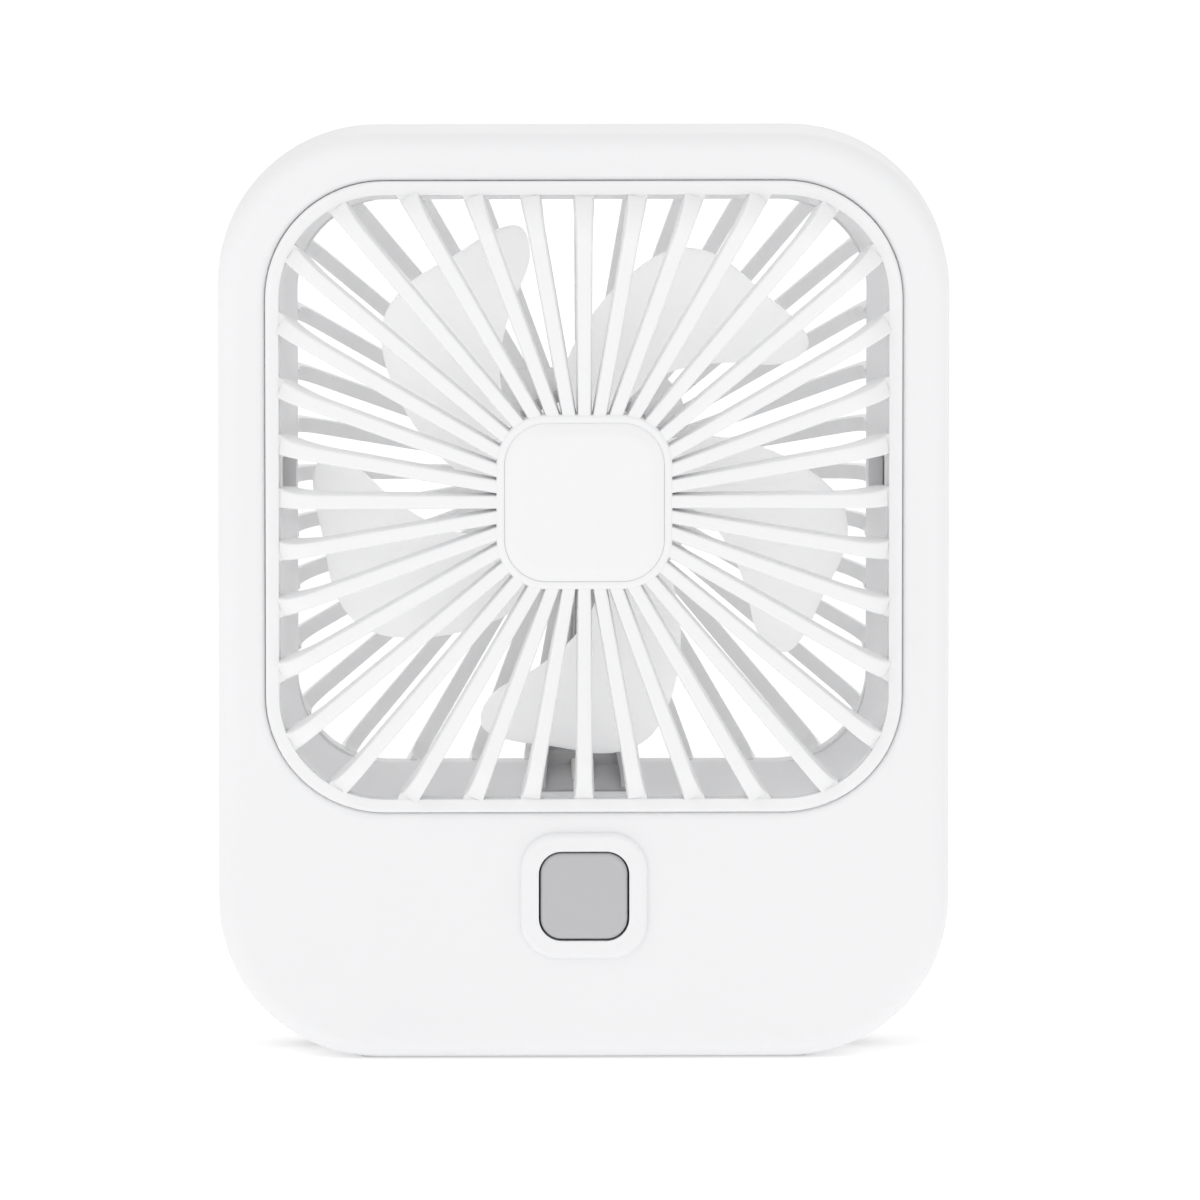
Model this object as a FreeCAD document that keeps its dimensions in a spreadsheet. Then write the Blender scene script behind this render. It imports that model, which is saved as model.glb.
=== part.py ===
import FreeCAD, Part
import math
import os
import re

import Sketcher
from FreeCAD import Placement, Rotation, Vector

# A small rechargeable desk fan: a flat rounded case with a square duct, radial-bar
# grilles, a five-blade rotor on a brushless motor, and a U-shaped stand that folds
# flush round the back of the case.
#
# Frame: millimetres, +Z up, the front faces -Y and +X is to the right as seen from
# the front. The origin is the middle of the footprint, on the surface it stands on.

doc = FreeCAD.newDocument("DeskFan")

# ---------------------------------------------------------------- driving dimensions
# Names ending in _front, _back or _face are places along Y. The rest are lengths.
SIZES = """
case_width 110
case_height 140.4
case_corner 24
case_proud 0.25
case_wall 2
case_round 3.2
case_front -12.6
part_line -1
step_face 1.2
case_back 9
step_inset 3.4
fan_height 85.75
ring_size 95.7
ring_corner 17.8
ring_front -12.9
ring_back -11.1
ring_gap 0.02
groove_round 1.2
duct_size 91.7
duct_corner 15.8
duct_back 5.3
duct_taper 9.2
duct_wall 1.6
notch_down 45.5
notch_height 9
notch_front -9
window_height 7.8
window_rise 1.7
window_reach 96.6
window_front -9
window_back 3.6
bar_number 36
bar_width 2.1
bar_inner_width 1.75
bar_depth 2.8
bar_draft 0.07
bar_edge 0.35
dome_front -17.5
dome_run 7
hub_size 26.4
hub_corner 7.5
hub_front -18.3
hub_back -15
cap_size 24
cap_corner 6.4
cap_front -18.8
cap_edge -18.2
cap_slope 1.8
cap_round 3
cap_gap 0.03
cap_back -16.9
rear_size 86
rear_corner 14
rear_flange_size 92
rear_rim_size 90
rear_rim_back 9.8
rear_bar_width 2.2
rear_bar_depth 2.1
rear_bend 5.6
rear_plane 17.4
rear_hub_size 31.5
rear_hub_corner 7.6
rear_hub_front 15.4
rear_hub_back 18.8
button_height 25.2
button_size 13.1
button_corner 3.2
button_front -13.7
button_gap 0.28
button_flange 15.6
collar_size 19.2
collar_corner 5.6
collar_front -13.6
guide_back -7
boss_radius 2.8
boss_across 42.1
boss_top 127.8
boss_low_across 44
boss_low 17
screw_radius 1
screw_head_radius 1.7
screw_head_depth 1.4
screw_seat 7.6
screw_tip -7
board_width 48
board_height 22
board_across 8
board_front -1.6
board_back -0.4
board_screw_across 20
switch_size 6
switch_front -3.6
plunger_front -4.4
plunger_radius 1.7
port_across 27
port_height 17.5
port_width 8.94
port_tall 3.26
port_back 8.4
cell_width 54
cell_height 29
cell_front 1.7
cell_back 6.7
cell_across -10
cell_mid 21.6
rotor_hub_radius 12
rotor_hub_front -7.8
rotor_hub_back 9.6
blade_thick 1.1
blade_mid -0.6
yoke_radius 10.5
yoke_wall 0.8
yoke_front -6.3
yoke_back 9.2
magnet_inner 8.5
magnet_front -0.5
magnet_back 8.7
stator_radius 8.1
stator_front 1.4
stator_back 7.4
stator_pole_number 6
tube_radius 3.8
tube_bore 3
tube_front -3
tube_back 13.2
bearing_bore 1.28
bearing_long 2.5
shaft_radius 1.25
shaft_back 12.6
groove_place 11.4
motor_board_front 9.9
motor_board_back 10.9
motor_board_radius 8.4
bracket_front 12.4
bracket_back 15.3
bracket_radius 13
arm_top_half 2.6
arm_low_half 6.6
bracket_screw_reach 9.6
stand_front 1.6
stand_back 8.8
stand_thick 3
pivot_face 5.2
pin_radius 1.5
pin_inner 47.6
pin_outer 54.2
pocket_end 49.8
washer_radius 2.6
washer_thick 0.6
pad_width 67.5
pad_front -8.8
pad_back 0.8
pad_thick 1
"""

sheet = doc.addObject("Spreadsheet::Sheet", "Sizes")
for row, entry in enumerate(SIZES.split("\n")[1:-1], start=1):
    alias, number = entry.split()
    sheet.set(f"A{row}", alias)
    sheet.set(f"B{row}", number)
    sheet.setAlias(f"B{row}", alias)
doc.recompute()


def size(alias):
    """A driving dimension as a plain number, for shapes worked out in code."""
    return float(sheet.get(alias))


def cell(text):
    """An expression over the sheet: each alias in the text gets the sheet's name."""
    return re.sub(r"[a-z]+(_[a-z]+)+", lambda found: "<<Sizes>>." + found.group(), text)


# ---------------------------------------------------------------- sketch and feature helpers
def new_body(label, height="0"):
    """A body whose sketches are drawn about the point (0, 0, height)."""
    body = doc.addObject("PartDesign::Body", label)
    body.Label = label
    body.setExpression("Placement.Base.z", cell(height))
    return body


def front_sketch(body, name, across, up, y_from):
    """A sketch that faces the front, its origin at (across, y_from, up) in the body."""
    sketch = body.newObject("Sketcher::SketchObject", name + "_sketch")
    plane = [item for item in body.Origin.OriginFeatures if item.Role == "XZ_Plane"][0]
    sketch.AttachmentSupport = [(plane, "")]
    sketch.MapMode = "FlatFace"
    sketch.setExpression("AttachmentOffset.Base.x", cell(across))
    sketch.setExpression("AttachmentOffset.Base.y", cell(up))
    sketch.setExpression("AttachmentOffset.Base.z", cell(f"-({y_from})"))
    return sketch


def bind(sketch, name, constraint, expression):
    """Add a dimension to a sketch and tie it to the sheet."""
    index = sketch.addConstraint(constraint)
    sketch.renameConstraint(index, name)
    sketch.setExpression(f"Constraints.{name}", cell(expression))


def draw_rounded(sketch, width, tall, corner):
    """A rounded rectangle about the sketch origin."""
    half_w, half_t, radius = 10.0, 8.0, 2.0
    flat_w, flat_t = half_w - radius, half_t - radius
    ends = [((-flat_w, -half_t), (flat_w, -half_t)), ((half_w, -flat_t), (half_w, flat_t)),
            ((flat_w, half_t), (-flat_w, half_t)), ((-half_w, flat_t), (-half_w, -flat_t))]
    for start, stop in ends:
        sketch.addGeometry(Part.LineSegment(Vector(*start, 0), Vector(*stop, 0)))
    centres = [(flat_w, -flat_t), (flat_w, flat_t), (-flat_w, flat_t), (-flat_w, -flat_t)]
    for turn, centre in enumerate(centres):
        circle = Part.Circle(Vector(*centre, 0), Vector(0, 0, 1), radius)
        start = (turn - 1) * math.pi / 2
        sketch.addGeometry(Part.ArcOfCircle(circle, start, start + math.pi / 2))
    for side in range(4):
        corner_arc, next_side = 4 + side, (side + 1) % 4
        sketch.addConstraint(Sketcher.Constraint("Tangent", side, 2, corner_arc, 1))
        sketch.addConstraint(Sketcher.Constraint("Tangent", corner_arc, 2, next_side, 1))
        direction = "Horizontal" if side % 2 == 0 else "Vertical"
        sketch.addConstraint(Sketcher.Constraint(direction, side))
    for corner_arc in (5, 6, 7):
        sketch.addConstraint(Sketcher.Constraint("Equal", 4, corner_arc))
    sketch.addConstraint(Sketcher.Constraint("Symmetric", 4, 3, 6, 3, -1, 1))
    bind(sketch, "corner", Sketcher.Constraint("Radius", 4, radius), corner)
    bind(sketch, "width", Sketcher.Constraint("DistanceX", 3, 1, 1, 1, 2 * half_w), width)
    bind(sketch, "tall", Sketcher.Constraint("DistanceY", 0, 1, 2, 1, 2 * half_t), tall)


def draw_circle(sketch, radius):
    """A circle about the sketch origin."""
    sketch.addGeometry(Part.Circle(Vector(), Vector(0, 0, 1), 2))
    sketch.addConstraint(Sketcher.Constraint("Coincident", 0, 3, -1, 1))
    bind(sketch, "radius", Sketcher.Constraint("Radius", 0, 2), radius)


def sweep_back(body, name, outline, y_from, y_to, across="0", up="0", cut=False, taper="0"):
    """Pad, or cut, an outline from y_from back to y_to. The outline is a radius or a
    (width, tall, corner) of expressions. A positive taper widens towards the back."""
    sketch = front_sketch(body, name, across, up, y_from)
    if isinstance(outline, str):
        draw_circle(sketch, outline)
    else:
        draw_rounded(sketch, *outline)
    feature = body.newObject("PartDesign::Pocket" if cut else "PartDesign::Pad", name)
    feature.Profile = sketch
    feature.Reversed = not cut
    feature.setExpression("Length", cell(f"({y_to}) - ({y_from})"))
    feature.setExpression("TaperAngle", cell(taper))
    feature.Refine = True
    doc.recompute()
    return feature


def round_edges(body, name, radius, chosen):
    """Fillet the edges of the body's last feature that the test picks."""
    base = body.Tip
    names = [f"Edge{i}" for i, edge in enumerate(base.Shape.Edges, start=1) if chosen(edge)]
    fillet = body.newObject("PartDesign::Fillet", name)
    fillet.Base = (base, names)
    fillet.setExpression("Radius", cell(radius))
    doc.recompute()
    return fillet


def edge_at_depth(place, min_reach, max_reach, middle=(0, 0)):
    """A test for edges that lie in the plane y = place, at some reach from a middle point."""
    def chosen(edge):
        box = edge.BoundBox
        flat = abs(box.YMin - place) < 1e-4 and abs(box.YMax - place) < 1e-4
        point = edge.valueAt((edge.FirstParameter + edge.LastParameter) / 2)
        reach = max(abs(point.x - middle[0]), abs(point.z - middle[1]))
        return flat and min_reach < reach < max_reach
    return chosen


def bore_box(label, lows, highs):
    """A Part::Box from low to high corners, each three expressions."""
    block = doc.addObject("Part::Box", label)
    block.Label = label
    for side, low, high in zip(("Length", "Width", "Height"), lows, highs):
        block.setExpression(side, cell(f"({high}) - ({low})"))
    for axis, low in zip("xyz", lows):
        block.setExpression(f"Placement.Base.{axis}", cell(low))
    return block


def rod(label, radius, y_from, y_to, across="0", up="fan_height"):
    """A Part::Cylinder along Y."""
    cylinder = doc.addObject("Part::Cylinder", label)
    cylinder.Label = label
    cylinder.Placement = Placement(Vector(), Rotation(Vector(1, 0, 0), -90))
    cylinder.setExpression("Radius", cell(radius))
    cylinder.setExpression("Height", cell(f"({y_to}) - ({y_from})"))
    for axis, place in zip("xyz", (across, y_from, up)):
        cylinder.setExpression(f"Placement.Base.{axis}", cell(place))
    return cylinder


def cross_rod(label, radius, x_from, x_to, y_place, up):
    """A Part::Cylinder along X."""
    cylinder = doc.addObject("Part::Cylinder", label)
    cylinder.Label = label
    cylinder.Placement = Placement(Vector(), Rotation(Vector(0, 1, 0), 90))
    cylinder.setExpression("Radius", cell(radius))
    cylinder.setExpression("Height", cell(f"({x_to}) - ({x_from})"))
    for axis, place in zip("xyz", (x_from, y_place, up)):
        cylinder.setExpression(f"Placement.Base.{axis}", cell(place))
    return cylinder


def fuse(label, pieces):
    whole = doc.addObject("Part::MultiFuse", label)
    whole.Label = label
    whole.Shapes = pieces
    whole.Refine = True
    return whole


def cut(label, base, tools):
    """The base with every tool taken out of it."""
    tool = tools[0] if len(tools) == 1 else fuse(label + "_cutters", tools)
    result = doc.addObject("Part::Cut", label)
    result.Label = label
    result.Base = base
    result.Tool = tool
    result.Refine = True
    return result


def worked_out(label, shape, height=0.0):
    """A Part::Feature for a shape built in code about the point (0, 0, height)."""
    feature = doc.addObject("Part::Feature", label)
    feature.Label = label
    feature.Shape = shape
    feature.Placement = Placement(Vector(0, 0, height), Rotation())
    return feature


def about_fan_axis(shape, degrees):
    """A copy turned about the fan's axis, counter-clockwise as seen from the front."""
    turned = shape.copy()
    turned.rotate(Vector(), Vector(0, -1, 0), degrees)
    return turned


def polygon_face(points):
    return Part.Face(Part.makePolygon([Vector(*p) for p in points] + [Vector(*points[0])]))


nodes = {}
CORNERS = [(side, row) for row in ("top", "low") for side in (1, -1)]
CASE_MID = "case_proud + case_height / 2"
CASE_OUTLINE = ("case_width", "case_height", "case_corner")
DUCT_OUTLINE = ("duct_size", "duct_size", "duct_corner")


def corner_place(side, row):
    """Where a case screw stands: (across, up) expressions."""
    across = "boss_across" if row == "top" else "boss_low_across"
    up = "boss_top" if row == "top" else "boss_low"
    return f"{side} * {across}", f"{up} - ({CASE_MID})"


def inset(outline, amount):
    """A rounded outline moved inwards all round."""
    width, tall, corner = outline
    return f"{width} - 2 * ({amount})", f"{tall} - 2 * ({amount})", f"{corner} - ({amount})"


PADS = {"base_pad": ("pad_front", "pad_back", "pad_width"),
        "stand_pad": ("stand_front + 0.9", "stand_back - 1.2", "pad_width - 8")}


def pad_block(label, pad):
    """The block of a rubber pad: the pad itself, or the seat cut for it."""
    low, high, long = PADS[pad]
    return bore_box(label, (f"-({long}) / 2", low, "0"), (f"({long}) / 2", high, "pad_thick"))


# ---------------------------------------------------------------- case shells
def make_front_shell():
    body = new_body("front_shell_body", CASE_MID)
    fan = f"fan_height - ({CASE_MID})"
    button = f"button_height - ({CASE_MID})"
    inner_front = "case_front + case_wall"
    sweep_back(body, "outer", CASE_OUTLINE, "case_front", "part_line")
    round_edges(body, "outer_round", "case_round", edge_at_depth(size("case_front"), 10, 80))
    sweep_back(body, "hollow", inset(CASE_OUTLINE, "case_wall"), inner_front, "part_line + 1", cut=True)
    sweep_back(body, "duct", inset(DUCT_OUTLINE, "-duct_wall - 0.3"), inner_front + " - 0.5",
               "duct_back", up=fan, taper="-duct_taper")
    for index, (side, row) in enumerate(CORNERS):
        across, up = corner_place(side, row)
        sweep_back(body, f"boss_{index}", "boss_radius", inner_front + " - 0.5", "part_line",
                   across, up)
        sweep_back(body, f"pilot_{index}", "screw_radius - 0.15", "screw_tip - 0.5",
                   "part_line + 1", across, up, cut=True)
    for side in (1, -1):
        across = f"board_across + {side} * board_screw_across"
        up = f"{button} + 2"
        sweep_back(body, f"post_{side + 1}", "boss_radius - 0.6", inner_front + " - 0.5",
                   "board_front", across, up)
        sweep_back(body, f"post_pilot_{side + 1}", "screw_radius - 0.25", "board_front - 4",
                   "board_front + 1", across, up, cut=True)
    sweep_back(body, "guide", inset(("button_size", "button_size", "button_corner"), "-1.9"),
               inner_front + " - 0.5", "guide_back", up=button)
    sweep_back(body, "collar", ("collar_size", "collar_size", "collar_corner"), "collar_front",
               "case_front + 0.5", up=button)
    round_edges(body, "collar_round", "0.85", edge_at_depth(size("collar_front"), 0, 80))
    sweep_back(body, "button_hole", inset(("button_size", "button_size", "button_corner"),
               "-button_gap"), "collar_front - 1", "guide_back + 1", up=button, cut=True)
    sweep_back(body, "duct_bore", DUCT_OUTLINE, "case_front - 0.1", "duct_back + 1", up=fan,
               cut=True, taper="-duct_taper")
    sweep_back(body, "ring_seat", inset(("ring_size", "ring_size", "ring_corner"), "-ring_gap"),
               "case_front - 0.1", "ring_back", up=fan, cut=True)
    fan_offset = size("fan_height") - (size("case_proud") + size("case_height") / 2)
    ring_half = size("ring_size") / 2
    round_edges(body, "groove", "groove_round",
                edge_at_depth(size("case_front"), ring_half - 8, ring_half + 1, (0, fan_offset)))
    sweep_back(body, "windows", ("window_reach", "window_height", "1"), "window_front",
               "window_back", up=f"{fan} + window_rise", cut=True)
    sweep_back(body, "bracket_notch", ("2 * arm_low_half + 0.4", "notch_height", "0.8"),
               "notch_front", "duct_back + 1", up=f"{fan} - notch_down", cut=True)
    return cut("front_shell", body, [pad_block("front_pad_seat", "base_pad")])


def make_rear_shell():
    body = new_body("rear_shell_body", CASE_MID)
    fan = f"fan_height - ({CASE_MID})"
    stepped = inset(CASE_OUTLINE, "step_inset")
    sweep_back(body, "flange", CASE_OUTLINE, "part_line", "step_face")
    sweep_back(body, "outer", stepped, "step_face", "case_back")
    round_edges(body, "outer_round", "case_round - 0.6", edge_at_depth(size("case_back"), 10, 80))
    sweep_back(body, "hollow", inset(CASE_OUTLINE, "step_inset + case_wall - 0.2"), "part_line - 1",
               "case_back - case_wall + 0.2", cut=True)
    for index, (side, row) in enumerate(CORNERS):
        across, up = corner_place(side, row)
        sweep_back(body, f"boss_{index}", "boss_radius", "part_line", "case_back - 1", across, up)
        sweep_back(body, f"bore_{index}", "screw_radius + 0.15", "part_line - 1", "case_back + 1",
                   across, up, cut=True)
        sweep_back(body, f"sink_{index}", "screw_head_radius + 0.25", "screw_seat",
                   "case_back + 1", across, up, cut=True)
    sweep_back(body, "duct_clearance", inset(DUCT_OUTLINE, "-duct_wall - 0.5"),
               "case_front + case_wall - 0.5", "duct_back + 0.1", up=fan, cut=True,
               taper="-duct_taper")
    sweep_back(body, "grille_opening", ("rear_rim_size + 0.4", "rear_rim_size + 0.4",
               "rear_corner + 2.2"), "part_line - 1", "case_back + 1", up=fan, cut=True)
    sweep_back(body, "port_opening", ("port_width + 0.8", "port_tall + 0.8", "port_tall / 2 + 0.3"),
               "case_back - 3", "case_back + 1", "port_across", f"port_height - ({CASE_MID})",
               cut=True)
    pivot = cross_rod("pivot_bore", "pin_radius + 0.05", "-case_width / 2", "case_width / 2",
                      "pivot_face", "fan_height")
    heads = [cross_rod(f"pin_pocket_{side + 1}", "washer_radius + 0.2",
                       "pin_inner - 2" if side > 0 else "-pocket_end",
                       "pocket_end" if side > 0 else "2 - pin_inner", "pivot_face", "fan_height")
             for side in (1, -1)]
    return cut("rear_shell", body, [pivot, pad_block("rear_pad_seat", "base_pad")] + heads)


# ---------------------------------------------------------------- grilles
def square_reach(degrees, half, corner):
    """How far a ray from the middle runs to the edge of a rounded square."""
    cosine = abs(math.cos(math.radians(degrees)))
    sine = abs(math.sin(math.radians(degrees)))
    reach = half / max(cosine, sine)
    flat = half - corner
    if reach * min(cosine, sine) <= flat:
        return reach
    along = flat * (cosine + sine)
    return along + math.sqrt(along ** 2 - 2 * flat ** 2 + corner ** 2)


def bar_plan(inner, outer, inner_width, outer_width, y_narrow, y_wide, draft):
    """A bar's plan along +X as a drafted prism: wider at y_wide than at y_narrow."""
    def outline(place, extra):
        near, far = inner_width / 2 + extra, outer_width / 2 + extra
        points = [(inner, place, -near), (outer, place, -far), (outer, place, far), (inner, place, near)]
        return Part.makePolygon([Vector(*p) for p in points + points[:1]])
    extra = abs(y_wide - y_narrow) * draft
    return Part.makeLoft([outline(y_narrow, 0), outline(y_wide, extra)], True, True)


def side_profile(edges, thickness):
    """A side view in the XY plane, given as edges, as a slab centred on that plane."""
    face = Part.Face(Part.Wire(edges))
    face.translate(Vector(0, 0, -thickness / 2))
    return face.extrude(Vector(0, 0, thickness))


def line(a, b):
    return Part.LineSegment(Vector(*a, 0), Vector(*b, 0)).toShape()


def arc(a, middle, b):
    return Part.Arc(Vector(*a, 0), Vector(*middle, 0), Vector(*b, 0)).toShape()


def front_bar(reach):
    """One front bar along +X: it rises out of the ring and runs in to the hub plate."""
    dome, depth, run = size("dome_front"), size("bar_depth"), size("dome_run")
    hub_start, ring_top, ring_base = 8.0, size("ring_front") + 0.15, size("ring_back")
    hub_top = size("hub_front") + 0.2
    outer = reach + 0.9
    a = (outer, ring_top)
    b = (reach - 0.2, ring_top)
    c = (reach - run, dome)
    b_c = (reach - 0.31 * run, ring_top + 0.72 * (dome - ring_top))
    d = (hub_start, hub_top)
    e = (hub_start, hub_top + depth)
    f = (reach - run - 0.8, dome + depth)
    g = (reach - 2.2, ring_base)
    f_g = (reach - 0.31 * run - 2.4, ring_base + 0.62 * (dome + depth - ring_base))
    h = (outer, ring_base)
    slab = side_profile([line(a, b), arc(b, b_c, c), line(c, d), line(d, e), line(e, f),
                         arc(f, f_g, g), line(g, h), line(h, a)], 8)
    plan = bar_plan(hub_start - 1, outer + 1, size("bar_inner_width"), size("bar_width"),
                    hub_top - 0.5, ring_base + 1, size("bar_draft"))
    bar = slab.common(plan)
    long_front = [edge for edge in bar.Edges if edge.BoundBox.ZLength < 0.9
                  and edge.Length > 4 and edge.BoundBox.YMax < ring_top + 0.01
                  and edge.BoundBox.YMin < dome + 0.3]
    return bar.makeFillet(size("bar_edge"), long_front)


def make_front_grille():
    ring = new_body("grille_ring", "fan_height")
    sweep_back(ring, "ring", ("ring_size", "ring_size", "ring_corner"), "ring_front", "ring_back")
    round_edges(ring, "ring_round", "0.5", edge_at_depth(size("ring_front"), 20, 60))
    sweep_back(ring, "ring_bore", ("duct_size", "duct_size", "duct_corner"), "ring_front - 1",
               "ring_back + 1", cut=True)
    hub = new_body("grille_hub", "fan_height")
    sweep_back(hub, "plate", ("hub_size", "hub_size", "hub_corner"), "hub_front", "hub_back")
    round_edges(hub, "plate_round", "0.6", edge_at_depth(size("hub_front"), 5, 60))
    seat = clearing_block("cap_space", inset(("cap_size", "cap_size", "cap_corner"), "-cap_gap"),
                            "hub_front - 1", "cap_back")
    bars = []
    step = 360 / size("bar_number")
    for index in range(int(size("bar_number"))):
        reach = square_reach(index * step, size("duct_size") / 2, size("duct_corner"))
        bars.append(about_fan_axis(front_bar(reach), index * step))
    bars = worked_out("front_bars", Part.makeCompound(bars), size("fan_height"))
    return cut("front_grille", fuse("front_grille_blank", [ring, hub, bars]), [seat])


def clearing_block(label, outline, y_from, y_to):
    """A rounded block about the fan axis, used to clear a space."""
    block = new_body(label, "fan_height")
    sweep_back(block, label + "_pad", outline, y_from, y_to)
    return block


def make_hub_cap():
    """The panel snapped into the hub: a flat middle, and a soft slope down to the hub's lip."""
    body = new_body("grille_hub_cap", "fan_height")
    outline = ("cap_size", "cap_size", "cap_corner")
    sweep_back(body, "panel", outline, "cap_edge", "cap_back")
    sweep_back(body, "crown", inset(outline, "cap_slope"), "cap_front", "cap_edge",
               taper="atan(cap_slope / (cap_edge - cap_front))")
    round_edges(body, "crown_round", "cap_round", edge_at_depth(size("cap_front"), 5, 60))
    return body


def rear_bar(reach):
    """One rear bar along +X: back from the rim, round the bend and in to the hub plate."""
    depth, bend = size("rear_bar_depth"), size("rear_bend")
    start, back, hub_start = size("case_back") - 1.2, size("rear_plane"), 12.0
    outer = reach + depth + 0.9
    turn = bend * (1 - math.sqrt(0.5))
    small = bend - depth
    small_turn = small * (1 - math.sqrt(0.5))
    a = (reach, start)
    b = (outer, start)
    c = (outer, back - bend)
    d = (outer - bend, back)
    c_d = (outer - turn, back - turn)
    e = (hub_start, back + 0.6)
    f = (hub_start, back + 0.6 - depth)
    g = (reach - small, back - depth)
    h = (reach, back - depth - small)
    g_h = (reach - small_turn, back - depth - small_turn)
    slab = side_profile([line(a, b), line(b, c), arc(c, c_d, d), line(d, e), line(e, f),
                         line(f, g), arc(g, g_h, h), line(h, a)], 8)
    plan = bar_plan(hub_start - 1, outer + 1, size("rear_bar_width") - 0.3, size("rear_bar_width"),
                    start - 1, back + 2, 0)
    return slab.common(plan)


def rounded_block(width, corner, y_from, y_to):
    """A rounded square block about the fan axis."""
    block = Part.makeBox(width, y_to - y_from, width, Vector(-width / 2, y_from, -width / 2))
    return block.makeFillet(corner, [edge for edge in block.Edges if edge.BoundBox.YLength > 1])


def make_rear_grille():
    rim = new_body("rear_rim", "fan_height")
    sweep_back(rim, "rim_flange", ("rear_flange_size", "rear_flange_size", "rear_corner + 3"),
               "duct_back + 0.1", "case_back - case_wall + 0.1")
    sweep_back(rim, "rim_collar", ("rear_rim_size", "rear_rim_size", "rear_corner + 2"),
               "case_back - case_wall", "rear_rim_back")
    sweep_back(rim, "rim_bore", ("rear_size", "rear_size", "rear_corner"), "duct_back",
               "rear_rim_back + 1", cut=True)
    hub = new_body("rear_hub", "fan_height")
    sweep_back(hub, "plate", ("rear_hub_size", "rear_hub_size", "rear_hub_corner"),
               "rear_hub_front", "rear_hub_back")
    round_edges(hub, "plate_round", "1", edge_at_depth(size("rear_hub_back"), 5, 60))
    step = 360 / size("bar_number")
    bars = []
    limit = rounded_block(size("rear_rim_size"), size("rear_corner") + 2, 0, 30)
    for index in range(int(size("bar_number"))):
        reach = square_reach(index * step, size("rear_size") / 2, size("rear_corner"))
        bars.append(about_fan_axis(rear_bar(reach), index * step).common(limit))
    bars = worked_out("rear_bars", Part.makeCompound(bars), size("fan_height"))
    holes = []
    for side in (1, -1):
        across = f"{side} * bracket_screw_reach"
        holes.append(rod(f"bracket_bore_{side + 1}", "screw_radius + 0.15", "rear_hub_front - 1",
                         "rear_hub_back + 1", across))
        holes.append(rod(f"bracket_sink_{side + 1}", "screw_head_radius + 0.2",
                         "rear_hub_back - 1.6", "rear_hub_back + 1", across))
        holes.append(rod(f"boss_scallop_{side + 1}", "boss_radius + 0.25", "duct_back - 1",
                         "case_back - case_wall + 0.15", f"{side} * boss_across", "boss_top"))
    return cut("rear_grille", fuse("rear_grille_blank", [rim, hub, bars]), holes)


# ---------------------------------------------------------------- rotor
BLADE_NUMBER = 5
BLADE_ANGLE = 105.5
# A blade seen from the front, its ear at BLADE_ANGLE: (across, up) from the fan axis.
BLADE_OUTLINE = [(-6.5, 7.0), (-12.2, 14.6), (-12.0, 22.5), (-9.6, 29.7), (-7.9, 35.2),
                 (-9.4, 38.9), (-13.6, 38.3), (-20.0, 34.6), (-26.4, 30.9), (-30.2, 25.2),
                 (-29.4, 18.0), (-25.8, 10.6), (-20.4, 4.4), (-9.0, 0.0)]
BLADE_MIDDLE = 128.0
# How steep the blade is at each distance out along its middle: (out, slope, camber).
BLADE_SECTIONS = [(2, 0.60, 0.4), (15, 0.44, 0.8), (28, 0.33, 1.0), (42, 0.24, 1.0)]


def blade_sheet():
    """The blade's twisted, cambered sheet along +X, wider than its outline."""
    half_span, thick = 24.0, size("blade_thick")
    wires = []
    for out, slope, camber in BLADE_SECTIONS:
        def point(along, rise):
            return Vector(out, rise - slope * along, along)
        front = Part.Arc(point(-half_span, 0), point(0, -camber), point(half_span, 0)).toShape()
        back = Part.Arc(point(-half_span, thick), point(0, thick - camber),
                        point(half_span, thick)).toShape()
        left = Part.LineSegment(point(-half_span, 0), point(-half_span, thick)).toShape()
        right = Part.LineSegment(point(half_span, 0), point(half_span, thick)).toShape()
        wires.append(Part.Wire([front, right, back, left]))
    return Part.makeLoft(wires, True, False)


def make_rotor():
    curve = Part.BSplineCurve()
    curve.interpolate([Vector(across, 0, up) for across, up in BLADE_OUTLINE])
    closing = Part.LineSegment(curve.EndPoint, curve.StartPoint)
    outline = Part.Face(Part.Wire([curve.toShape(), closing.toShape()]))
    outline.translate(Vector(0, -20, 0))
    blade = outline.extrude(Vector(0, 40, 0)).common(about_fan_axis(blade_sheet(), BLADE_MIDDLE))
    blade.translate(Vector(0, size("blade_mid"), 0))
    hub_radius = size("rotor_hub_radius")
    front, back = size("rotor_hub_front"), size("rotor_hub_back")
    hub = Part.makeCylinder(hub_radius, back - front, Vector(0, front, 0), Vector(0, 1, 0))
    front_rim = [edge for edge in hub.Edges if abs(edge.BoundBox.YMax - front) < 1e-4]
    hub = hub.makeFillet(1.6, front_rim)
    turned = [about_fan_axis(blade, index * 360 / BLADE_NUMBER) for index in range(BLADE_NUMBER)]
    rotor = hub.multiFuse(turned)
    yoke_front = size("yoke_front")
    cavity = Part.makeCylinder(size("yoke_radius"), 40, Vector(0, yoke_front, 0), Vector(0, 1, 0))
    return worked_out("rotor", rotor.cut(cavity).removeSplitter(), size("fan_height"))


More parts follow.
